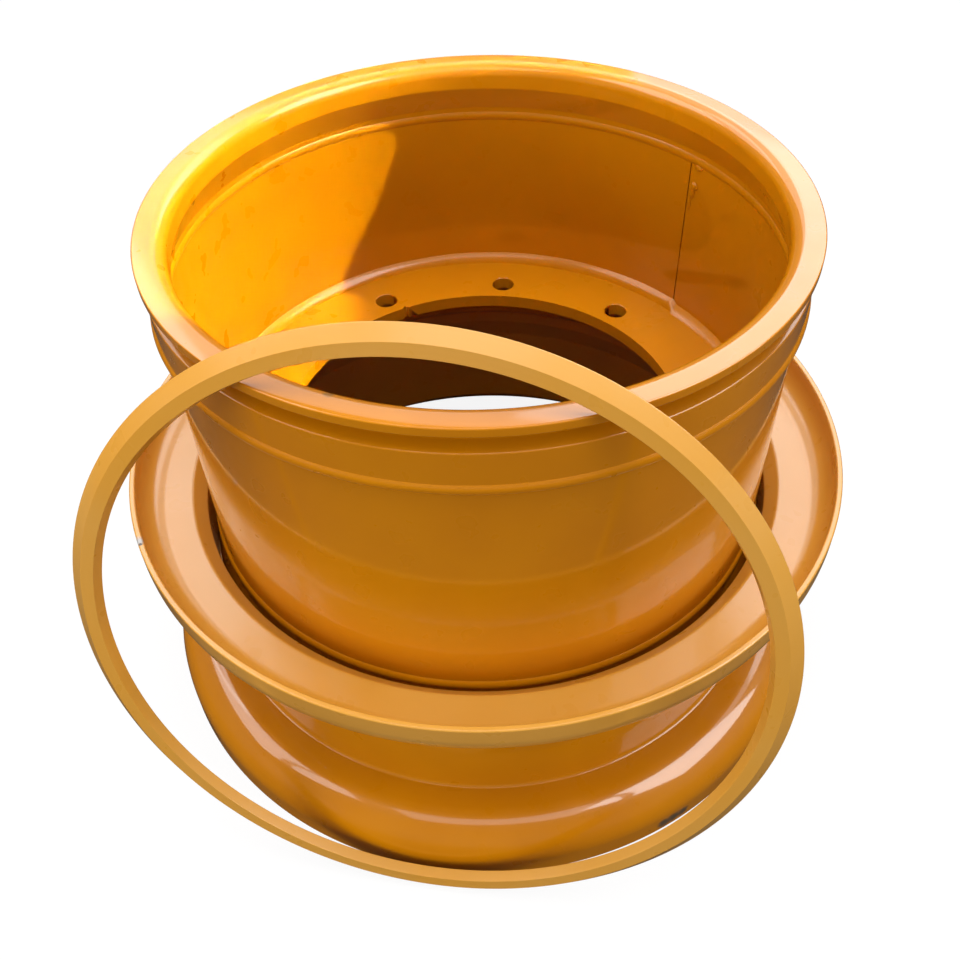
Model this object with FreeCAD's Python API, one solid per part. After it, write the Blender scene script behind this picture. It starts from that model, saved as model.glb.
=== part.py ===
import FreeCAD, Part
import math
import os

from FreeCAD import Vector

# Earthmoving rim for a 25 inch tyre, in three loose pieces: a welded rim base standing on
# its fixed flange, the side ring dropped over it, and the lock ring leaning on its front.
# Millimetres, +Z up. Heights are given from the ground. The finished pieces are then lowered
# together, so that the origin is the centre of the mounting disc's hub face.

# Rim base, overall
RIM_HEIGHT = 554.0
BAND_RADIUS = 299.5
BAND_WALL = 9.0

# Gutter section, the thick rolled ring at the top
GUTTER_HEIGHT = 63.0
LIP_STEP = 8.0
LIP_THICKNESS = 9.0
LIP_EDGE_ROUND = 1.5
GROOVE_DEPTH = 18.0
GROOVE_HEIGHT = 14.0
GROOVE_ROUND = 5.0
GROOVE_FLOOR_DROP = 4.5
LAND_STEP = 5.0
LAND_FOOT = 3.6
LAND_EDGE_ROUND = 1.5
MOUTH_STEP = 11.5
MOUTH_ROUND = 13.0
MOUTH_HEIGHT = 26.0
TAPER_FOOT = 10.0
TAPER_ROUND = 4.0

# Back section, with its bead seat and fixed flange
SEAT_STEP = 18.0
SEAT_ANGLE = 5.0
SEAT_OVERRUN = 0.9
RUNOUT_HEIGHT = 26.0
RUNOUT_ROUND = 12.0
BACK_COLLAR = 22.0
HEEL_ROUND = 4.0
FLANGE_HEIGHT = 63.5
FLANGE_DEPTH = 64.0
FLANGE_THICKNESS = 14.0
FLANGE_CURL = 40.0
FLANGE_EDGE_ROUND = 3.0
UNDER_HEEL_ROUND = 10.0

# Mounting disc
DISC_UNDERSIDE_Z = 283.0
DISC_THICKNESS = 15.0
DISC_WIDTH = 79.5
BOLT_COUNT = 10
BOLT_EDGE_DISTANCE = 26.0
BOLT_HOLE_RADIUS = 13.0
BOLT_HOLE_CHAMFER = 1.2
FIRST_BOLT_AZIMUTH = 10.9
CUT_NOTCH_RADIUS = 3.0
CUT_NOTCH_AZIMUTH = 115.3

# Weld beads
DISC_WELD_LEG_UP = 11.0
DISC_WELD_LEG_IN = 8.0
DISC_WELD_CROWN = 1.2
UNDER_WELD_LEG = 8.0
BUTT_WELD_WIDTH = 13.5
BUTT_WELD_CROWN = 2.4
GUTTER_WELD_REACH = 9.0
SEAM_AZIMUTH = 37.1
SEAM_GAP = 2.4
SEAM_DIP = 0.5

# Side ring
RING_BORE_CLEARANCE = 1.5
RING_REST_CLEARANCE = 0.25
RING_SEAT_LENGTH = 58.0
RING_HEEL_ROUND = 8.0
RING_WALL = 18.5
RING_BEVEL = 13.0
RING_BEVEL_ROUND = 5.0
RING_DISH_DEPTH = 36.5
RING_DISH_ROUND = 24.0
RING_CURL = 38.0
RING_LIP_WIDTH = 6.0
RING_EDGE_ROUND = 1.8

# Lock ring, and where it stands
LOCK_SPRING_FIT = 3.0
LOCK_BACK_HEIGHT = 26.3
LOCK_WIDTH = 10.5
LOCK_RIM_WIDTH = 1.5
LOCK_OUTER_BEVEL = 11.3
LOCK_INNER_BEVEL = 3.5
LOCK_EDGE_ROUND = 0.7
LOCK_FOOT_GAP = 14.0
LOCK_TURN = -10.0
LOCK_REST_CLEARANCE = 0.3

# How closely the leaning ring's place is worked out
STEEPEST_LEAN = 45.0
LEAN_HALVINGS = 40
SETTLE_STEPS = 8

# Radii and heights that follow from the sizes above
BAND_BORE = BAND_RADIUS - BAND_WALL
LIP_RADIUS = BAND_RADIUS + LIP_STEP
GROOVE_RADIUS = LIP_RADIUS - GROOVE_DEPTH
LAND_RADIUS = BAND_RADIUS + LAND_STEP
MOUTH_RADIUS = BAND_BORE - MOUTH_STEP
SEAT_HEEL_RADIUS = BAND_RADIUS + SEAT_STEP
FLANGE_RADIUS = SEAT_HEEL_RADIUS + FLANGE_HEIGHT
DISC_BORE_RADIUS = BAND_BORE - DISC_WIDTH
BOLT_CIRCLE_RADIUS = DISC_BORE_RADIUS + BOLT_EDGE_DISTANCE
RING_BORE = LIP_RADIUS + RING_BORE_CLEARANCE
RING_REST_RADIUS = RING_BORE - RING_REST_CLEARANCE
SEAT_TOP_RADIUS = RING_REST_RADIUS - SEAT_OVERRUN
LOCK_BACK_INNER = GROOVE_RADIUS - LOCK_SPRING_FIT
LOCK_BACK_OUTER = LOCK_BACK_INNER + LOCK_BACK_HEIGHT

SEAT_SLOPE = math.tan(math.radians(SEAT_ANGLE))
RING_BOTTOM_Z = FLANGE_DEPTH + (SEAT_HEEL_RADIUS - RING_REST_RADIUS) / SEAT_SLOPE
SEAT_TOP_Z = FLANGE_DEPTH + (SEAT_HEEL_RADIUS - SEAT_TOP_RADIUS) / SEAT_SLOPE
RUNOUT_TOP_Z = SEAT_TOP_Z + RUNOUT_HEIGHT
BACK_JOINT_Z = RUNOUT_TOP_Z + BACK_COLLAR
DISC_TOP_Z = DISC_UNDERSIDE_Z + DISC_THICKNESS
GUTTER_JOINT_Z = RIM_HEIGHT - GUTTER_HEIGHT
LAND_BOTTOM_Z = GUTTER_JOINT_Z + LAND_FOOT

ORIGIN = Vector(0, 0, 0)
AXIS = Vector(0, 0, 1)


def rounded_face(corners):
    """A face in the radius and height plane, from (radius, height, rounding) corners in order."""
    points = [Vector(radius, 0, height) for radius, height, rounding in corners]
    tangents = []
    arcs = []
    for index, corner in enumerate(points):
        rounding = corners[index][2]
        to_last = (points[index - 1] - corner).normalize()
        to_next = (points[(index + 1) % len(points)] - corner).normalize()
        half_angle = to_last.getAngle(to_next) / 2
        reach = rounding / math.tan(half_angle)
        inward = (to_last + to_next).normalize()
        middle = corner + inward * (rounding / math.sin(half_angle) - rounding)
        tangents.append((corner + to_last * reach, corner + to_next * reach))
        arcs.append(middle if rounding > 0 else None)
    edges = []
    for index, middle in enumerate(arcs):
        start, end = tangents[index]
        if middle:
            edges.append(Part.Arc(start, middle, end).toShape())
        edges.append(Part.LineSegment(end, tangents[(index + 1) % len(points)][0]).toShape())
    return Part.Face(Part.Wire(edges))


def bead_face(start, middle, end, roots):
    """A weld bead's section: an arc over its crown, closed along the metal it joins."""
    start, middle, end = [Vector(radius, 0, height) for radius, height in (start, middle, end)]
    path = [end] + [Vector(radius, 0, height) for radius, height in roots] + [start]
    edges = [Part.Arc(start, middle, end).toShape()]
    for here, there in zip(path, path[1:]):
        edges.append(Part.LineSegment(here, there).toShape())
    return Part.Face(Part.Wire(edges))


def turned(face, degrees=360.0):
    """The ring swept by a section turned about the wheel's axis."""
    return face.revolve(ORIGIN, AXIS, degrees)


def on_azimuth(shape, degrees):
    """A copy of the shape, turned about the wheel's axis."""
    return shape.rotated(ORIGIN, AXIS, degrees)


def make_gutter_section():
    """Lip, lock ring groove and land outside; rounded mouth and taper inside."""
    lip_bottom = RIM_HEIGHT - LIP_THICKNESS
    groove_bottom = lip_bottom - GROOVE_HEIGHT
    return turned(rounded_face([
        (MOUTH_RADIUS, RIM_HEIGHT, MOUTH_ROUND),
        (LIP_RADIUS, RIM_HEIGHT, LIP_EDGE_ROUND),
        (LIP_RADIUS, lip_bottom, LIP_EDGE_ROUND),
        (GROOVE_RADIUS, lip_bottom, GROOVE_ROUND),
        (GROOVE_RADIUS, groove_bottom, GROOVE_ROUND),
        (LAND_RADIUS, groove_bottom - GROOVE_FLOOR_DROP, LAND_EDGE_ROUND),
        (LAND_RADIUS, LAND_BOTTOM_Z, 0),
        (BAND_RADIUS, GUTTER_JOINT_Z, 0),
        (BAND_BORE, GUTTER_JOINT_Z, 0),
        (BAND_BORE, GUTTER_JOINT_Z + TAPER_FOOT, TAPER_ROUND),
        (MOUTH_RADIUS, RIM_HEIGHT - MOUTH_HEIGHT, TAPER_ROUND),
    ]))


def seam_turn():
    """The angle that the gap between the band's two rolled ends takes up."""
    return math.degrees(SEAM_GAP / BAND_BORE)


def make_center_band():
    """Plate rolled to a ring, open at its seam."""
    plate = rounded_face([
        (BAND_BORE, BACK_JOINT_Z, 0),
        (BAND_RADIUS, BACK_JOINT_Z, 0),
        (BAND_RADIUS, GUTTER_JOINT_Z, 0),
        (BAND_BORE, GUTTER_JOINT_Z, 0),
    ])
    return on_azimuth(turned(plate, 360.0 - seam_turn()), SEAM_AZIMUTH + seam_turn() / 2)


def make_band_seam_weld():
    """Weld metal between the band's ends, ground just below the plate on both faces."""
    metal = rounded_face([
        (BAND_BORE + SEAM_DIP, BACK_JOINT_Z, 0),
        (BAND_RADIUS - SEAM_DIP, BACK_JOINT_Z, 0),
        (BAND_RADIUS - SEAM_DIP, GUTTER_JOINT_Z, 0),
        (BAND_BORE + SEAM_DIP, GUTTER_JOINT_Z, 0),
    ])
    return on_azimuth(turned(metal, seam_turn()), SEAM_AZIMUTH - seam_turn() / 2)


def make_back_section():
    """Run-out from the band, tapered bead seat, and the flange that curls down to the ground."""
    flange_bore = FLANGE_RADIUS - FLANGE_THICKNESS
    under_flange = FLANGE_DEPTH - FLANGE_THICKNESS
    return turned(rounded_face([
        (BAND_RADIUS, BACK_JOINT_Z, 0),
        (BAND_BORE, BACK_JOINT_Z, 0),
        (BAND_BORE, RUNOUT_TOP_Z, RUNOUT_ROUND),
        (SEAT_TOP_RADIUS - BAND_WALL, SEAT_TOP_Z, RUNOUT_ROUND),
        (SEAT_HEEL_RADIUS - BAND_WALL, under_flange, UNDER_HEEL_ROUND),
        (flange_bore, under_flange, FLANGE_CURL - FLANGE_THICKNESS),
        (flange_bore, 0, FLANGE_EDGE_ROUND),
        (FLANGE_RADIUS, 0, FLANGE_EDGE_ROUND),
        (FLANGE_RADIUS, FLANGE_DEPTH, FLANGE_CURL),
        (SEAT_HEEL_RADIUS, FLANGE_DEPTH, HEEL_ROUND),
        (SEAT_TOP_RADIUS, SEAT_TOP_Z, RUNOUT_ROUND),
        (BAND_RADIUS, RUNOUT_TOP_Z, RUNOUT_ROUND),
    ]))


def make_mounting_disc():
    """Flame-cut disc with its hub bore, its bolt holes and the notch where the bore's cut began."""
    disc = turned(rounded_face([
        (DISC_BORE_RADIUS, DISC_UNDERSIDE_Z, 0),
        (BAND_BORE, DISC_UNDERSIDE_Z, 0),
        (BAND_BORE, DISC_TOP_Z, 0),
        (DISC_BORE_RADIUS, DISC_TOP_Z, 0),
    ]))
    hole_foot = Vector(BOLT_CIRCLE_RADIUS, 0, DISC_UNDERSIDE_Z)
    chamfer_foot = Vector(BOLT_CIRCLE_RADIUS, 0, DISC_TOP_Z - BOLT_HOLE_CHAMFER)
    chamfer_rim = BOLT_HOLE_RADIUS + BOLT_HOLE_CHAMFER
    hole = Part.makeCylinder(BOLT_HOLE_RADIUS, DISC_THICKNESS, hole_foot)
    hole = hole.fuse(Part.makeCone(BOLT_HOLE_RADIUS, chamfer_rim, BOLT_HOLE_CHAMFER, chamfer_foot))
    cuts = []
    for index in range(BOLT_COUNT):
        cuts.append(on_azimuth(hole, FIRST_BOLT_AZIMUTH + index * 360.0 / BOLT_COUNT))
    notch_foot = Vector(DISC_BORE_RADIUS, 0, DISC_UNDERSIDE_Z)
    notch = Part.makeCylinder(CUT_NOTCH_RADIUS, DISC_THICKNESS, notch_foot)
    cuts.append(on_azimuth(notch, CUT_NOTCH_AZIMUTH))
    return disc.cut(cuts)


def make_disc_weld_upper():
    """Fillet weld between the disc's top and the band, with a slightly full face."""
    toe = (BAND_BORE - DISC_WELD_LEG_IN, DISC_TOP_Z)
    top = (BAND_BORE, DISC_TOP_Z + DISC_WELD_LEG_UP)
    length = math.hypot(DISC_WELD_LEG_IN, DISC_WELD_LEG_UP)
    middle = (
        (toe[0] + top[0]) / 2 - DISC_WELD_CROWN * DISC_WELD_LEG_UP / length,
        (toe[1] + top[1]) / 2 + DISC_WELD_CROWN * DISC_WELD_LEG_IN / length,
    )
    return turned(bead_face(toe, middle, top, [(BAND_BORE, DISC_TOP_Z)]))


def make_disc_weld_lower():
    """Fillet weld under the disc, with equal legs and a flat face."""
    return turned(rounded_face([
        (BAND_BORE - UNDER_WELD_LEG, DISC_UNDERSIDE_Z, 0),
        (BAND_BORE, DISC_UNDERSIDE_Z, 0),
        (BAND_BORE, DISC_UNDERSIDE_Z - UNDER_WELD_LEG, 0),
    ]))


def make_gutter_weld_outer():
    """Bead that fills the step from the land down to the band."""
    top = (LAND_RADIUS, LAND_BOTTOM_Z)
    toe = (BAND_RADIUS, GUTTER_JOINT_Z - GUTTER_WELD_REACH)
    middle = ((LAND_RADIUS + BAND_RADIUS) / 2 + BUTT_WELD_CROWN, (top[1] + toe[1]) / 2)
    return turned(bead_face(top, middle, toe, [(BAND_RADIUS, GUTTER_JOINT_Z)]))


def butt_bead(radius, crown_radius, joint_z):
    """Bead laid over a butt joint on the drum's inside or outside."""
    top = (radius, joint_z + BUTT_WELD_WIDTH / 2)
    toe = (radius, joint_z - BUTT_WELD_WIDTH / 2)
    return turned(bead_face(top, (crown_radius, joint_z), toe, []))


def make_side_ring():
    """Loose flange with its bead seat: bevelled mouth, dished top and raised outer lip."""
    heel_z = RING_BOTTOM_Z + RING_SEAT_LENGTH
    dish_z = heel_z + RING_WALL
    lip_z = dish_z + RING_DISH_DEPTH
    seat_end_radius = SEAT_HEEL_RADIUS - RING_SEAT_LENGTH * SEAT_SLOPE
    return turned(rounded_face([
        (RING_BORE, RING_BOTTOM_Z, 0),
        (seat_end_radius, RING_BOTTOM_Z, 0),
        (SEAT_HEEL_RADIUS, heel_z, RING_HEEL_ROUND),
        (FLANGE_RADIUS, heel_z, RING_CURL),
        (FLANGE_RADIUS, lip_z, RING_EDGE_ROUND),
        (FLANGE_RADIUS - RING_LIP_WIDTH, lip_z, RING_EDGE_ROUND),
        (FLANGE_RADIUS - RING_LIP_WIDTH, dish_z, RING_DISH_ROUND),
        (RING_BORE + RING_BEVEL, dish_z, RING_BEVEL_ROUND),
        (RING_BORE, dish_z - RING_BEVEL, RING_BEVEL_ROUND),
    ]))


def lock_ring_reach(lean):
    """How far from the axis the leaning ring's back face is centred, with its bore on the lip's corner."""
    rise = RIM_HEIGHT - LOCK_BACK_OUTER * math.cos(lean)
    half_chord_squared = LOCK_BACK_INNER ** 2 - (rise / math.cos(lean)) ** 2
    contact = math.sqrt(LIP_RADIUS ** 2 - max(half_chord_squared, 0))
    return contact + rise * math.tan(lean)


def lock_ring_lean():
    """The lean that stands the ring's foot its gap in front of the fixed flange, found by halving."""
    low, high = 0.0, math.radians(STEEPEST_LEAN)
    for step in range(LEAN_HALVINGS):
        lean = (low + high) / 2
        foot = lock_ring_reach(lean) + LOCK_BACK_OUTER * math.sin(lean)
        if foot < FLANGE_RADIUS + LOCK_FOOT_GAP:
            low = lean
        else:
            high = lean
    return lean


def make_lock_ring(gutter):
    """Bevelled ring that leans on the lip's front edge with its foot on the ground."""
    ring = turned(rounded_face([
        (LOCK_BACK_INNER, 0, LOCK_EDGE_ROUND),
        (LOCK_BACK_OUTER, 0, LOCK_EDGE_ROUND),
        (LOCK_BACK_OUTER, LOCK_RIM_WIDTH, LOCK_EDGE_ROUND),
        (LOCK_BACK_OUTER - LOCK_OUTER_BEVEL, LOCK_WIDTH, LOCK_EDGE_ROUND),
        (LOCK_BACK_INNER + LOCK_INNER_BEVEL, LOCK_WIDTH, LOCK_EDGE_ROUND),
    ]))
    lean = lock_ring_lean()
    ring.rotate(ORIGIN, Vector(1, 0, 0), 90.0 - math.degrees(lean))
    ring.translate(Vector(0, -lock_ring_reach(lean), LOCK_BACK_OUTER * math.cos(lean)))
    for step in range(SETTLE_STEPS):
        gap = ring.distToShape(gutter)[0]
        ring.translate(Vector(0, gap - LOCK_REST_CLEARANCE, 0))
    return on_azimuth(ring, LOCK_TURN)


GUTTER = make_gutter_section()
PIECES = {
    "gutter_section": GUTTER,
    "center_band": make_center_band(),
    "back_section": make_back_section(),
    "mounting_disc": make_mounting_disc(),
    "band_seam_weld": make_band_seam_weld(),
    "gutter_weld_outer": make_gutter_weld_outer(),
    "gutter_weld_inner": butt_bead(BAND_BORE, BAND_BORE - BUTT_WELD_CROWN, GUTTER_JOINT_Z),
    "back_weld_outer": butt_bead(BAND_RADIUS, BAND_RADIUS + BUTT_WELD_CROWN, BACK_JOINT_Z),
    "back_weld_inner": butt_bead(BAND_BORE, BAND_BORE - BUTT_WELD_CROWN, BACK_JOINT_Z),
    "disc_weld_upper": make_disc_weld_upper(),
    "disc_weld_lower": make_disc_weld_lower(),
    "side_ring": make_side_ring(),
    "lock_ring": make_lock_ring(GUTTER),
}

os.makedirs("parts", exist_ok=True)
for name, piece in PIECES.items():
    piece.translate(Vector(0, 0, -DISC_UNDERSIDE_Z))
    piece.exportStep("parts/" + name + ".step")
    print(name, "valid", piece.isValid(), "solids", len(piece.Solids), "volume", round(piece.Volume))
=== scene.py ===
# %% [markdown]
# # An earthmoving rim, dressed in Blender
#
# The rim stands on its fixed flange. A side ring has been dropped over it, and a lock ring
# leans on its lip. All of it is steel under glossy yellow-orange enamel. The exact solids
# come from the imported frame, so this lesson only gives them what a CAD solid lacks: smooth
# turned skins, laid weld beads, paint, wear, light and a camera.

# %% Load the frame
import math
from collections import Counter

import bpy
from mathutils import Matrix, Vector


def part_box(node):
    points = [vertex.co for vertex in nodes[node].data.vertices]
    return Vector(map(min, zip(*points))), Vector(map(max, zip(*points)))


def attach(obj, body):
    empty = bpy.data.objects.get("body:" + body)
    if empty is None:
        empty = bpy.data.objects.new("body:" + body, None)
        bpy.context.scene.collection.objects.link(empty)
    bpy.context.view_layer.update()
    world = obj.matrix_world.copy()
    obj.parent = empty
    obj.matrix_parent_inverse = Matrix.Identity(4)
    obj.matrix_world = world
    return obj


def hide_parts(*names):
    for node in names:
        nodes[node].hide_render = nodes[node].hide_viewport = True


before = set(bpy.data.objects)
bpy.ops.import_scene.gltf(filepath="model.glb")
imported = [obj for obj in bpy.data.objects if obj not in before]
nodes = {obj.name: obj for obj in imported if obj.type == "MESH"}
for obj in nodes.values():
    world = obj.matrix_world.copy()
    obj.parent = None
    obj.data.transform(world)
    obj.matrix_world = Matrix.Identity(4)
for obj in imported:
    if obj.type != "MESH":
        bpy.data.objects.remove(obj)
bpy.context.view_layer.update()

MM = 0.001
print("CAD nodes:", ", ".join(sorted(nodes)))

# %% [markdown]
# ## Places that the pieces share
#
# The wheel's axis is the Z axis and the origin is the disc's hub face. Heights and radii
# could be typed in, but then they would be wrong as soon as a solid changes. So they are read
# from the frame: the floor is the lowest point of the back section, and a radius is the reach
# of the piece that has it. A point on the rim is easiest to give as the maker would, by its
# azimuth round the wheel, its radius and its height.

# %% Read the shared places from the frame
FLOOR_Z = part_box("back_section")[0].z
LIP_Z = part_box("gutter_section")[1].z
BAND_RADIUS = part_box("center_band")[1].x
DISC_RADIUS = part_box("mounting_disc")[1].x
DISC_TOP_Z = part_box("mounting_disc")[1].z
RING_TOP_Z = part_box("side_ring")[1].z
BAND_BORE = DISC_RADIUS
SEAM_AZIMUTH = 37.1


def on_wheel(azimuth, radius, height):
    """The point at this azimuth in degrees, radius and height."""
    turn = math.radians(azimuth)
    return Vector((radius * math.cos(turn), radius * math.sin(turn), height))


print("floor", round(FLOOR_Z, 4), "lip", round(LIP_Z, 4), "disc radius", round(DISC_RADIUS, 4))

# %% [markdown]
# ## Enamel
#
# The rim wears one thick glossy enamel, sprayed over rolled and welded steel. A painted image
# could carry its wear, but it would need a file and a flat unwrapping of every ring. Noise on
# Object coordinates needs neither, and it sits still on the steel from any side. Three things
# keep the paint from looking like plastic: its colour drifts a little where the coat is
# thicker, its gloss is uneven, and the plate under it has slow waves. The clear gloss is the
# shader's own coat.

# %% Helpers for node materials
def new_material(name):
    """A node material, with its tree, its shader and its Object coordinates."""
    material = bpy.data.materials.new(name)
    material.use_nodes = True
    tree = material.node_tree
    shader = tree.nodes["Principled BSDF"]
    place = tree.nodes.new("ShaderNodeTexCoord").outputs["Object"]
    return material, tree, shader, place


def noise(tree, place, scale, detail=3.0):
    """Noise of this many features to the metre."""
    node = tree.nodes.new("ShaderNodeTexNoise")
    node.inputs["Scale"].default_value = scale
    node.inputs["Detail"].default_value = detail
    tree.links.new(place, node.inputs["Vector"])
    return node.outputs["Fac"]


def remap(tree, value, low, high, to_low=0.0, to_high=1.0):
    """The value, moved smoothly from one range to another and clamped."""
    node = tree.nodes.new("ShaderNodeMapRange")
    node.interpolation_type = "SMOOTHSTEP"
    node.inputs["From Min"].default_value = low
    node.inputs["From Max"].default_value = high
    node.inputs["To Min"].default_value = to_low
    node.inputs["To Max"].default_value = to_high
    tree.links.new(value, node.inputs["Value"])
    return node.outputs["Result"]


def mix_colour(tree, factor, below, above):
    """A colour between two, each of which is a socket or a colour."""
    node = tree.nodes.new("ShaderNodeMix")
    node.data_type = "RGBA"
    tree.links.new(factor, node.inputs["Factor"])
    for socket, colour in ((node.inputs["A"], below), (node.inputs["B"], above)):
        if isinstance(colour, tuple):
            socket.default_value = colour
        else:
            tree.links.new(colour, socket)
    return node.outputs["Result"]


def mix_number(tree, factor, below, above):
    """A number between a socket and a number."""
    node = tree.nodes.new("ShaderNodeMix")
    tree.links.new(factor, node.inputs["Factor"])
    tree.links.new(below, node.inputs["A"])
    node.inputs["B"].default_value = above
    return node.outputs["Result"]


# %% A ragged spot
SPOT_GRAIN = 1.1
SPOT_SOLID = 0.35
SPOT_REACH = 1.3


def spot(tree, place, centre, radius, ragged):
    """1 inside a ragged spot at a place on the wheel, and 0 outside it."""
    wobble = tree.nodes.new("ShaderNodeTexNoise")
    wobble.inputs["Scale"].default_value = SPOT_GRAIN / radius
    wobble.inputs["Detail"].default_value = 4.0
    tree.links.new(place, wobble.inputs["Vector"])
    push = tree.nodes.new("ShaderNodeVectorMath")
    push.operation = "MULTIPLY_ADD"
    tree.links.new(wobble.outputs["Color"], push.inputs[0])
    push.inputs[1].default_value = (ragged * radius,) * 3
    tree.links.new(place, push.inputs[2])
    reach = tree.nodes.new("ShaderNodeVectorMath")
    reach.operation = "DISTANCE"
    tree.links.new(push.outputs["Vector"], reach.inputs[0])
    reach.inputs[1].default_value = centre + Vector((ragged * radius / 2,) * 3)
    return remap(tree, reach.outputs["Value"], SPOT_SOLID * radius, SPOT_REACH * radius, 1.0, 0.0)


# %% The enamel
ENAMEL = (0.60, 0.212, 0.001, 1.0)
THICK_ENAMEL = (0.55, 0.184, 0.001, 1.0)
NOISE_LOW = 0.3
NOISE_HIGH = 0.7
DRIFT_SCALE = 7.0
DRIFT_HIGH = 0.75
GLOSS_SCALE = 38.0
SHINY = 0.27
DULL = 0.37
WAVE_SCALE = 16.0
WAVE_STRENGTH = 0.05
WAVE_HEIGHT = 3 * MM
PIGMENT_GLINT = 0.15


def enamel(name, marks=(), thin=ENAMEL, thick=THICK_ENAMEL, coat=1.0, haze=0.07):
    """The rim's paint. Each mark is (centre, radius, ragged edge, colour, roughness)."""
    material, tree, shader, place = new_material(name)
    drift = remap(tree, noise(tree, place, DRIFT_SCALE), NOISE_LOW, DRIFT_HIGH)
    colour = mix_colour(tree, drift, thin, thick)
    gloss = remap(tree, noise(tree, place, GLOSS_SCALE, 2.0), NOISE_LOW, NOISE_HIGH, SHINY, DULL)
    for centre, radius, ragged, mark_colour, mark_gloss in marks:
        inside = spot(tree, place, centre, radius, ragged)
        colour = mix_colour(tree, inside, colour, mark_colour)
        gloss = mix_number(tree, inside, gloss, mark_gloss)
    tree.links.new(colour, shader.inputs["Base Color"])
    tree.links.new(gloss, shader.inputs["Roughness"])
    waves = tree.nodes.new("ShaderNodeBump")
    waves.inputs["Strength"].default_value = WAVE_STRENGTH
    waves.inputs["Distance"].default_value = WAVE_HEIGHT
    tree.links.new(noise(tree, place, WAVE_SCALE, 1.0), waves.inputs["Height"])
    tree.links.new(waves.outputs["Normal"], shader.inputs["Normal"])
    shader.inputs["Specular IOR Level"].default_value = PIGMENT_GLINT
    shader.inputs["Coat Weight"].default_value = coat
    shader.inputs["Coat Roughness"].default_value = haze
    print("material", name, "with", len(marks), "marks")
    return material


# %% [markdown]
# ## Marks and tones
#
# The rim base is a deep orange. The two loose rings get a paler, bluer paint and more haze,
# the lock ring most of all; their paleness is partly their own paint and partly painted sheen
# that stands in for the sky's reflection on their faces. The disc and the welds have less gloss
# than the plate. Wear could be a dirt layer over everything, but this rim is nearly new and has
# only a few marks, so each one is a spot at its own place: a chip down to bare steel with grit
# in it on the side ring, scuffs on the flange near the floor, and a smudge on the lip.

# %% Marks and paints
# The rings' paint is paler and bluer than the rim's: partly their own paint, partly painted sheen
# for the sky's reflection on them.
RING_ENAMEL_AND_SHEEN = (0.70, 0.335, 0.050, 1.0)
THICK_RING_ENAMEL_AND_SHEEN = (0.66, 0.300, 0.032, 1.0)
PALE_ENAMEL_AND_SHEEN = (0.65, 0.320, 0.055, 1.0)
BARE_STEEL = (0.42, 0.40, 0.38, 1.0)
OLD_GRIT = (0.03, 0.022, 0.015, 1.0)
SCUFF = (0.11, 0.075, 0.045, 1.0)
SMUDGE = (0.26, 0.125, 0.02, 1.0)
side_ring_marks = [
    (on_wheel(-155.7, 0.379, RING_TOP_Z), 0.006, 0.9, BARE_STEEL, 0.5),
    (on_wheel(-154.9, 0.3785, RING_TOP_Z), 0.0022, 0.6, OLD_GRIT, 0.8),
]
back_marks = [
    (on_wheel(-58.6, 0.380, FLOOR_Z + 0.014), 0.008, 1.0, SCUFF, 0.7),
    (on_wheel(-60.4, 0.381, FLOOR_Z + 0.014), 0.009, 1.0, SCUFF, 0.7),
    (on_wheel(-62.2, 0.381, FLOOR_Z + 0.013), 0.009, 1.0, SCUFF, 0.7),
    (on_wheel(-65.0, 0.377, FLOOR_Z + 0.012), 0.004, 1.4, SCUFF, 0.7),
]
lip_marks = [(on_wheel(-112.9, 0.2865, LIP_Z - 0.002), 0.0045, 1.2, SMUDGE, 0.6)]
paint = {
    "plate": enamel("plate_enamel"),
    "disc": enamel("disc_enamel", coat=0.3, haze=0.3),
    "gutter": enamel("gutter_enamel", lip_marks),
    "back": enamel("back_enamel", back_marks),
    "side_ring": enamel(
        "side_ring_enamel_and_sheen", side_ring_marks, RING_ENAMEL_AND_SHEEN, THICK_RING_ENAMEL_AND_SHEEN, haze=0.16),
    "lock_ring": enamel("lock_ring_enamel_and_sheen", (), PALE_ENAMEL_AND_SHEEN, THICK_RING_ENAMEL_AND_SHEEN, haze=0.25),
    "weld": enamel("weld_enamel", coat=0.55, haze=0.14),
}

# %% [markdown]
# ## Turned skins
#
# The gutter, band, back section and rings were rolled to a section and closed into a ring.
# A CAD mesh shows such a ring as loose flat triangles, and gloss makes every one of them
# plain. Smoothing alone can't hide them, because they are long and thin. So each ring is
# turned again: a copy of the solid is cut by a plane through the wheel's axis, which leaves
# the section's exact outline, and the outline is spun round with fine even steps. The result
# lies on the solid, and its quads carry smooth highlights.

# %% Copy a solid and cut its section
MERGE = 1e-6


def pick(piece):
    """Makes this the only selected object, and the active one."""
    bpy.ops.object.select_all(action="DESELECT")
    piece.select_set(True)
    bpy.context.view_layer.objects.active = piece


def solid_copy(node, name):
    """A copy of a CAD node with its loose triangles merged."""
    piece = bpy.data.objects.new(name, nodes[node].data.copy())
    bpy.context.scene.collection.objects.link(piece)
    piece.data.materials.clear()
    pick(piece)
    bpy.ops.object.mode_set(mode="EDIT")
    bpy.ops.mesh.select_all(action="SELECT")
    bpy.ops.mesh.remove_doubles(threshold=MERGE)
    bpy.ops.object.mode_set(mode="OBJECT")
    return piece


def select_where(piece, test):
    """In edit mode, selects the vertices whose place passes the test."""
    bpy.ops.mesh.select_all(action="DESELECT")
    bpy.ops.object.mode_set(mode="OBJECT")
    for vertex in piece.data.vertices:
        vertex.select = test(vertex.co)
    bpy.ops.object.mode_set(mode="EDIT")


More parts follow.
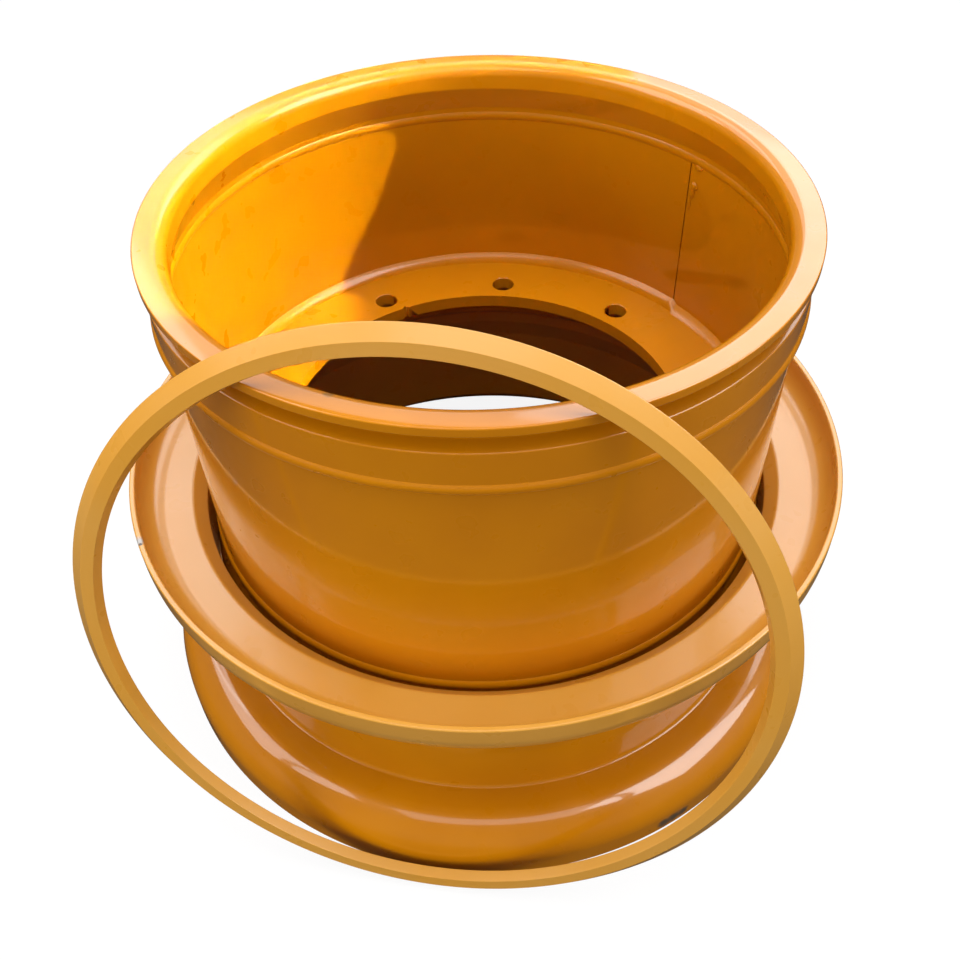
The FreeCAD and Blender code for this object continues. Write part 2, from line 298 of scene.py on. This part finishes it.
def cut_section(piece):
    """Leaves only the outline of a ring where the plane of X and Z cuts its +X side."""
    pick(piece)
    bpy.ops.object.mode_set(mode="EDIT")
    bpy.ops.mesh.select_mode(type="VERT")
    bpy.ops.mesh.select_all(action="SELECT")
    bpy.ops.mesh.bisect(plane_co=(0, 0, 0), plane_no=(0, 1, 0), clear_inner=True, clear_outer=True)
    select_where(piece, lambda place: place.x < 0)
    bpy.ops.mesh.delete(type="VERT")
    bpy.ops.mesh.select_all(action="SELECT")
    bpy.ops.mesh.remove_doubles(threshold=MERGE)


# %% Spin the section and finish the skin
TURN_STEPS = 256
SMOOTH_ANGLE = math.radians(32.0)


def spin_round(steps=TURN_STEPS, angle=math.tau):
    """In edit mode, spins the section about the wheel's axis and leaves edit mode."""
    bpy.ops.mesh.select_all(action="SELECT")
    bpy.ops.mesh.spin(steps=steps, angle=angle, center=(0, 0, 0), axis=(0, 0, 1))
    bpy.ops.mesh.select_all(action="SELECT")
    bpy.ops.mesh.remove_doubles(threshold=MERGE)
    bpy.ops.mesh.normals_make_consistent(inside=False)
    bpy.ops.object.mode_set(mode="OBJECT")


def shade(piece, angle=SMOOTH_ANGLE):
    """Smooth shading, sharp only at real corners, with flat faces kept flat."""
    pick(piece)
    bpy.ops.object.shade_smooth_by_angle(angle=angle)
    bpy.ops.object.modifier_add(type="WEIGHTED_NORMAL")
    piece.modifiers[-1].keep_sharp = True
    bpy.ops.object.modifier_apply(modifier=piece.modifiers[-1].name)


def dress(piece, material, slot, *replaced):
    """Paints a finished piece and puts it on the rim in place of its CAD nodes."""
    piece.data.materials.clear()
    piece.data.materials.append(material)
    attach(piece, "root")
    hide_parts(*replaced)
    print(piece.name, "has", len(piece.data.polygons), "faces")


# %% Turn the rings that stand level
def turned_skin(node, material, slot):
    """A smooth turned ring in place of a CAD ring."""
    piece = solid_copy(node, node + "_skin")
    cut_section(piece)
    spin_round()
    shade(piece)
    dress(piece, material, slot, node)


turned_skin("gutter_section", paint["gutter"], "yellow_paint")
turned_skin("back_section", paint["back"], "yellow_paint")
turned_skin("side_ring", paint["side_ring"], "ring_paint")
turned_skin("disc_weld_lower", paint["weld"], "weld_paint")

# %% [markdown]
# ## The lock ring
#
# The lock ring is turned like the others, but it leans, so it first has to lie flat on the
# wheel's axis. Its lean could be copied from the solid's source, but it can also be read from
# the mesh: the ring's front and back faces are flat, so the normal that most of its triangles
# share is the ring's own axis. Its centre is the middle of its reach along and across that
# axis. The copy is laid flat, cut, spun and leaned back onto the solid.

# %% Turn the lock ring on its own axis
def leaning(piece):
    """The matrix that takes a flat ring on the wheel's axis to where this ring leans."""
    shared = Counter(tuple(round(part, 4) for part in face.normal) for face in piece.data.polygons)
    axis = Vector(shared.most_common(1)[0][0]).normalized()
    if axis.y > 0:
        axis.negate()
    turn = axis.to_track_quat("Z", "Y").to_matrix()
    flat = [turn.transposed() @ vertex.co for vertex in piece.data.vertices]
    middle = Vector((min(p[i] for p in flat) + max(p[i] for p in flat)) / 2 for i in range(3))
    return Matrix.Translation(turn @ middle) @ turn.to_4x4()


lock_ring = solid_copy("lock_ring", "lock_ring_skin")
lock_lean = leaning(lock_ring)
lock_ring.data.transform(lock_lean.inverted())
cut_section(lock_ring)
spin_round()
lock_ring.data.transform(lock_lean)
shade(lock_ring)
dress(lock_ring, paint["lock_ring"], "ring_paint", "lock_ring")
print("lock ring centre", [round(part, 4) for part in lock_lean.translation])

# %% [markdown]
# ## The band and its seam
#
# The band is one plate rolled to a ring, and its two ends meet at a seam that was welded
# and ground. The seam still shows as a fine dark line, because the paint doesn't quite
# bridge it. A dark stripe in the material would do from afar, but a real gap also catches
# shade. So the band is spun through a full turn less the seam's gap, as a filled section so
# that its ends are closed, and the weld metal in the gap is left just below the surface.

# %% Roll the band
SEAM_GAP = 1.5 * MM
seam_turn = SEAM_GAP / BAND_BORE
band = solid_copy("center_band", "center_band_skin")
cut_section(band)
bpy.ops.mesh.select_all(action="SELECT")
bpy.ops.mesh.edge_face_add()
spin_round(angle=math.tau - seam_turn)
band.data.transform(Matrix.Rotation(math.radians(SEAM_AZIMUTH) + seam_turn / 2, 4, "Z"))
shade(band)
dress(band, paint["plate"], "yellow_paint", "center_band")

# %% Darken the weld metal in the seam
SEAM_GRIT = (0.10, 0.034, 0.002, 1.0)
GRIT_SCALE = 120.0
GRIT_LOW = 0.35
GRIT_ROUGHNESS = 0.6
grit, grit_tree, grit_shader, grit_place = new_material("seam_grit")
grit_patches = remap(grit_tree, noise(grit_tree, grit_place, GRIT_SCALE), GRIT_LOW, NOISE_HIGH)
grit_colour = mix_colour(grit_tree, grit_patches, SEAM_GRIT, THICK_ENAMEL)
grit_tree.links.new(grit_colour, grit_shader.inputs["Base Color"])
grit_shader.inputs["Roughness"].default_value = GRIT_ROUGHNESS
nodes["band_seam_weld"].data.materials.clear()
nodes["band_seam_weld"].data.materials.append(grit)
print("seam", SEAM_GAP / MM, "mm wide at azimuth", SEAM_AZIMUTH)

# %% [markdown]
# ## Spatter
#
# Where the grinder stopped, drops of weld spatter were painted over. Bump in the paint could
# hint at them, but they stand up to 3 mm from the wall and break its highlight. Each drop is
# a ball that is made uneven and smoothed in edit mode, flattened to its own size, and put
# half into the wall. The drops are joined, because no one would handle them one by one.

# %% Spatter beside the seam
LUMPY = 0.5
SPATTER = [
    # azimuth, height above the disc, half width, half height, depth
    (35.70, 0.1640, 0.0044, 0.0050, 0.0028),
    (36.15, 0.1565, 0.0036, 0.0080, 0.0022),
    (36.60, 0.1430, 0.0022, 0.0090, 0.0014),
    (35.10, 0.1870, 0.0050, 0.0034, 0.0024),
]


def spatter_drop(azimuth, height, half_width, half_height, depth):
    """A painted drop of weld spatter, flattened onto the band's wall."""
    bpy.ops.mesh.primitive_uv_sphere_add(segments=24, ring_count=16, radius=1.0)
    drop = bpy.context.active_object
    seed = round(azimuth * 100)
    bpy.ops.object.mode_set(mode="EDIT")
    bpy.ops.transform.vertex_random(offset=LUMPY, uniform=0.0, normal=1.0, seed=seed)
    bpy.ops.mesh.vertices_smooth(factor=0.5, repeat=4)
    bpy.ops.transform.resize(value=(depth, half_width, half_height), center_override=(0, 0, 0))
    bpy.ops.object.mode_set(mode="OBJECT")
    turn = Matrix.Rotation(math.radians(azimuth), 4, "Z")
    drop.data.transform(Matrix.Translation(on_wheel(azimuth, BAND_BORE, DISC_TOP_Z + height)) @ turn)
    return drop


bpy.ops.object.select_all(action="DESELECT")
drops = [spatter_drop(*sizes) for sizes in SPATTER]
for drop in drops:
    drop.select_set(True)
bpy.context.view_layer.objects.active = drops[0]
bpy.ops.object.join()
spatter = bpy.context.active_object
spatter.name = "seam_spatter"
shade(spatter)
spatter.data.materials.append(paint["weld"])
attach(spatter, "root")
print("spatter drops:", len(SPATTER))

# %% [markdown]
# ## Weld beads
#
# The beads were laid while the rim turned under the torch, so each is a section carried
# round the wheel that swells and thins a little as the torch wandered, with fine ripples
# where the pool froze. Ripples could be bump, but then a bead's edge would stay a perfect
# circle. So each bead is spun from the solid's section with fine steps, and every vertex is
# then moved to or from the bead's root, which keeps the bead on the two plates that it joins.
# A bead may be smaller than the solid's or stand prouder in its middle. On the disc the torch
# stopped at the seam, so that bead is wider and lower past the stop.

# %% How a bead swells on its way round
RIPPLES = 180
RIPPLE = 0.005
WANDER = 0.045
WANDER_WAVES = ((5, 0.4), (9, 1.9), (14, 3.3), (23, 0.8))
STOP_LENGTH = 0.8
STOP_RUN_UP = 1.5
STOP_LUMP = 0.10
STOP_WIDER = 0.45
STOP_LOWER = 0.38


def wander(azimuth):
    """How much fuller than its section a bead is at this azimuth, in radians."""
    waves = [math.sin(count * azimuth + phase) for count, phase in WANDER_WAVES]
    return WANDER * sum(waves) / len(waves) + RIPPLE * math.sin(RIPPLES * azimuth)


def stopped(azimuth):
    """How much wider and taller the disc's bead is past the place where the torch stopped."""
    past = (SEAM_AZIMUTH - math.degrees(azimuth)) % 360.0
    before = 360.0 - past
    lump = STOP_LUMP * max(0.0, 1.0 - before / STOP_RUN_UP)
    changed = min(past / STOP_LENGTH, 1.0) * before / 360.0
    return lump + STOP_WIDER * changed, lump - STOP_LOWER * changed


def no_stop(azimuth):
    """A bead that was laid in one go."""
    return 0.0, 0.0


# %% Lay the beads
BEAD_STEPS = 720
BEAD_SMOOTH_ANGLE = math.radians(50.0)


def round_the_root(piece, root_radius, root_z):
    """Each vertex's angle about the bead's root, or None for a vertex at the root."""
    angles = []
    for vertex in piece.data.vertices:
        out = math.hypot(vertex.co.x, vertex.co.y) - root_radius
        rise = vertex.co.z - root_z
        away = math.hypot(out, rise) > MERGE
        angles.append(math.atan2(rise, abs(out)) if away else None)
    return angles


def lay_bead(node, root_radius, root_z, size=1.0, proud=0.0, stop=no_stop):
    """A wandering bead in place of a plain one, with its middle proud by a share of its size."""
    piece = solid_copy(node, node + "_bead")
    cut_section(piece)
    spin_round(BEAD_STEPS)
    angles = round_the_root(piece, root_radius, root_z)
    low = min(angle for angle in angles if angle is not None)
    high = max(angle for angle in angles if angle is not None)
    for vertex, angle in zip(piece.data.vertices, angles):
        if angle is None:
            continue
        azimuth = math.atan2(vertex.co.y, vertex.co.x)
        wider, taller = stop(azimuth)
        bulge = proud * math.sin(math.pi * (angle - low) / (high - low))
        fuller = size + wander(azimuth) + bulge
        out = (math.hypot(vertex.co.x, vertex.co.y) - root_radius) * (fuller + wider)
        rise = (vertex.co.z - root_z) * (fuller + taller)
        vertex.co = on_wheel(math.degrees(azimuth), root_radius + out, root_z + rise)
    shade(piece, BEAD_SMOOTH_ANGLE)
    dress(piece, paint["weld"], "weld_paint", node)


def middle_height(node):
    """The height halfway up a CAD node."""
    low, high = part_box(node)
    return (low.z + high.z) / 2


lay_bead("disc_weld_upper", DISC_RADIUS, DISC_TOP_Z, stop=stopped)
lay_bead("gutter_weld_inner", BAND_BORE, middle_height("gutter_weld_inner"), size=0.7)
lay_bead("gutter_weld_outer", BAND_RADIUS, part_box("center_band")[1].z, proud=0.42)
lay_bead("back_weld_inner", BAND_BORE, middle_height("back_weld_inner"))
lay_bead("back_weld_outer", BAND_RADIUS, middle_height("back_weld_outer"))

# %% [markdown]
# ## The mounting disc
#
# The disc was flame-cut from plate. It could be built again from a circle with holes, but its
# faces are flat, and flat triangles show nothing under gloss. So the CAD mesh is merged rather
# than turned again: only the walls of the bore and of the bolt holes need smooth shading.

# %% Shade the disc
disc = solid_copy("mounting_disc", "mounting_disc_skin")
shade(disc)
dress(disc, paint["disc"], "yellow_paint", "mounting_disc")

# %% [markdown]
# ## Floor and surround
#
# The floor is a plain pale plane in a white surround. Lit by lamps alone it would be grey at
# its far end, or so bright that it lights the rim from below. So both are chosen by the kind
# of ray: the camera sees a floor that glows nearly white and still takes the rim's shadow,
# while the paint sees darker ground. In the same way the surround is white to the camera, dim
# in the gloss and a soft fill for everything else.

# %% Floor
FLOOR_SIZE = 40.0
FLOOR_GLOW = 0.90
FLOOR_SHADE = (0.10, 0.10, 0.10, 1.0)
DARK_GROUND = (0.04, 0.04, 0.04, 1.0)
WHITE = (1.0, 1.0, 1.0, 1.0)
bpy.ops.object.select_all(action="DESELECT")
bpy.ops.mesh.primitive_plane_add(size=FLOOR_SIZE, location=(0, 0, FLOOR_Z))
floor = bpy.context.active_object
floor.name = "floor"
floor_material = bpy.data.materials.new("pale_floor")
floor_material.use_nodes = True
floor_tree = floor_material.node_tree
seen = floor_tree.nodes["Principled BSDF"]
seen.inputs["Base Color"].default_value = FLOOR_SHADE
seen.inputs["Roughness"].default_value = 1.0
seen.inputs["Specular IOR Level"].default_value = 0.0
seen.inputs["Emission Color"].default_value = WHITE
seen.inputs["Emission Strength"].default_value = FLOOR_GLOW
reflected = floor_tree.nodes.new("ShaderNodeBsdfDiffuse")
reflected.inputs["Color"].default_value = DARK_GROUND
rays = floor_tree.nodes.new("ShaderNodeLightPath")
choose = floor_tree.nodes.new("ShaderNodeMixShader")
floor_tree.links.new(rays.outputs["Is Camera Ray"], choose.inputs["Fac"])
floor_tree.links.new(reflected.outputs["BSDF"], choose.inputs[1])
floor_tree.links.new(seen.outputs["BSDF"], choose.inputs[2])
floor_tree.links.new(choose.outputs["Shader"], floor_tree.nodes["Material Output"].inputs["Surface"])
floor.data.materials.append(floor_material)
print("floor at", round(FLOOR_Z, 4), "and", FLOOR_SIZE, "m wide")

# %% Surround
SEEN_WHITE = 1.0
GLOSS_DIM = 0.12
SOFT_FILL = 0.72
scene = bpy.context.scene
scene.view_settings.view_transform = "Standard"
world = bpy.data.worlds.new("studio")
scene.world = world
world.use_nodes = True
world_tree = world.node_tree
world_rays = world_tree.nodes.new("ShaderNodeLightPath")


def backdrop(strength):
    """A plain white surround of this strength."""
    node = world_tree.nodes.new("ShaderNodeBackground")
    node.inputs["Color"].default_value = WHITE
    node.inputs["Strength"].default_value = strength
    return node.outputs["Background"]


def by_ray(kind, otherwise, chosen):
    """One shader for rays of this kind and another for the rest."""
    node = world_tree.nodes.new("ShaderNodeMixShader")
    world_tree.links.new(world_rays.outputs[kind], node.inputs["Fac"])
    world_tree.links.new(otherwise, node.inputs[1])
    world_tree.links.new(chosen, node.inputs[2])
    return node.outputs["Shader"]


unseen = by_ray("Is Glossy Ray", backdrop(SOFT_FILL), backdrop(GLOSS_DIM))
surround = by_ray("Is Camera Ray", unseen, backdrop(SEEN_WHITE))
world_tree.links.new(surround, world_tree.nodes["World Output"].inputs["Surface"])
print("surround", SEEN_WHITE, "seen,", GLOSS_DIM, "in gloss,", SOFT_FILL, "as fill")

# %% [markdown]
# ## Lights
#
# One big soft light would do for a dull thing. On gloss, a light both shades the form and
# shows as a bright shape, and the two are hard to set at once. So they are kept apart, as a
# studio does with flags and panels. Five lights shade the rim and don't show in its gloss: a
# narrow key from the right passes over the lip and falls on the inside of the far left wall,
# one is above and three are in front. Six panels only show in the gloss: those behind give
# the pale sheen on the lips and dishes, and the rest the long highlights on the flange.

# %% Lights that shade
HUB = Vector((0.0, 0.0, 0.0))
FAR_WALL = Vector((-0.12, 0.07, LIP_Z - 0.03))
WIDE_SPREAD = 180.0
KEY_SPREAD = 1.6


def soft_light(name, azimuth, elevation, distance, aim, width, height, glow, spread=WIDE_SPREAD):
    """A rectangular light at an azimuth and elevation from its aim, as bright as its glow."""
    tilt = math.radians(elevation)
    place = aim + distance * on_wheel(azimuth, math.cos(tilt), math.sin(tilt))
    bpy.ops.object.light_add(type="AREA", location=place)
    light = bpy.context.active_object
    light.name = name
    light.rotation_euler = (aim - place).to_track_quat("-Z", "Y").to_euler()
    light.data.shape = "RECTANGLE"
    light.data.size = width
    light.data.size_y = height
    light.data.energy = glow * math.pi * width * height
    light.data.spread = math.radians(spread)
    light.visible_camera = False
    print("light", name, "at", [round(part, 2) for part in place])
    return light


SHADING_LIGHTS = [
    # name, azimuth, elevation, distance, aim, width, height, glow, spread
    ("key", 2.0, 38.0, 1.3, FAR_WALL, 0.46, 0.32, 2.7, KEY_SPREAD),
    ("top", -90.0, 88.0, 3.0, HUB, 2.5, 2.5, 4.0),
    ("front", -90.0, 12.0, 3.0, HUB, 3.0, 0.8, 0.8),
    ("front_left", -150.0, 14.0, 3.0, HUB, 2.0, 0.9, 5.2),
    ("front_right", -22.0, 14.0, 3.0, HUB, 2.0, 0.9, 5.0),
]
for row in SHADING_LIGHTS:
    soft_light(*row).visible_glossy = False

# %% Panels that show in the gloss
FLANGE_Z = FLOOR_Z + 0.02
FLANGE_FRONT = on_wheel(-90.0, 0.37, FLANGE_Z)
FLANGE_RIGHT = on_wheel(-45.0, 0.38, FLANGE_Z)
FLANGE_LEFT = on_wheel(-129.0, 0.35, FLANGE_Z)
GLOSS_PANELS = [
    # name, azimuth, elevation, distance, aim, width, height, glow
    ("back", 80.0, 52.0, 3.2, HUB, 4.6, 2.6, 1.8),
    ("back_left", 134.0, 42.0, 3.2, HUB, 1.6, 1.4, 2.6),
    ("back_right", 56.0, 40.0, 3.2, HUB, 2.4, 1.4, 2.8),
    ("overhead", -90.0, 76.0, 2.5, FLANGE_FRONT, 1.6, 0.8, 2.0),
    ("right", -9.0, 57.0, 2.4, FLANGE_RIGHT, 1.5, 1.6, 8.0),
    ("left", 165.0, 57.0, 2.4, FLANGE_LEFT, 1.5, 1.3, 4.4),
]
for row in GLOSS_PANELS:
    panel = soft_light(*row)
    panel.visible_diffuse = False
    panel.data.cycles.max_bounces = 0

# %% [markdown]
# ## Camera
#
# The camera stands in front of the rim and looks down at about 45 degrees. It could be aimed
# at a target, but it is also rolled by two degrees, and that is easier to see when its right,
# up and back directions are worked out from pitch, yaw and roll and set as its matrix.

# %% Camera
CAMERA_PLACE = Vector((0.0, -0.8361, FLOOR_Z + 1.0412))
CAMERA_PITCH = math.radians(45.49)
CAMERA_YAW = math.radians(-0.41)
CAMERA_ROLL = math.radians(-1.94)
SENSOR_WIDTH = 36.0
FOCAL_LENGTH = 38.66
forward = Vector((
    math.sin(CAMERA_YAW) * math.cos(CAMERA_PITCH),
    math.cos(CAMERA_YAW) * math.cos(CAMERA_PITCH),
    -math.sin(CAMERA_PITCH),
))
level = forward.cross(Vector((0, 0, 1))).normalized()
upright = level.cross(forward)
right = level * math.cos(CAMERA_ROLL) + upright * math.sin(CAMERA_ROLL)
up = upright * math.cos(CAMERA_ROLL) - level * math.sin(CAMERA_ROLL)
bpy.ops.object.camera_add()
camera = bpy.context.active_object
camera.matrix_world = Matrix((right, up, -forward)).transposed().to_4x4()
camera.location = CAMERA_PLACE
camera.data.sensor_width = SENSOR_WIDTH
camera.data.lens = FOCAL_LENGTH
camera.data.clip_start = 0.01
scene.camera = camera
print("camera at", [round(part, 3) for part in CAMERA_PLACE], "with a lens of", FOCAL_LENGTH, "mm")
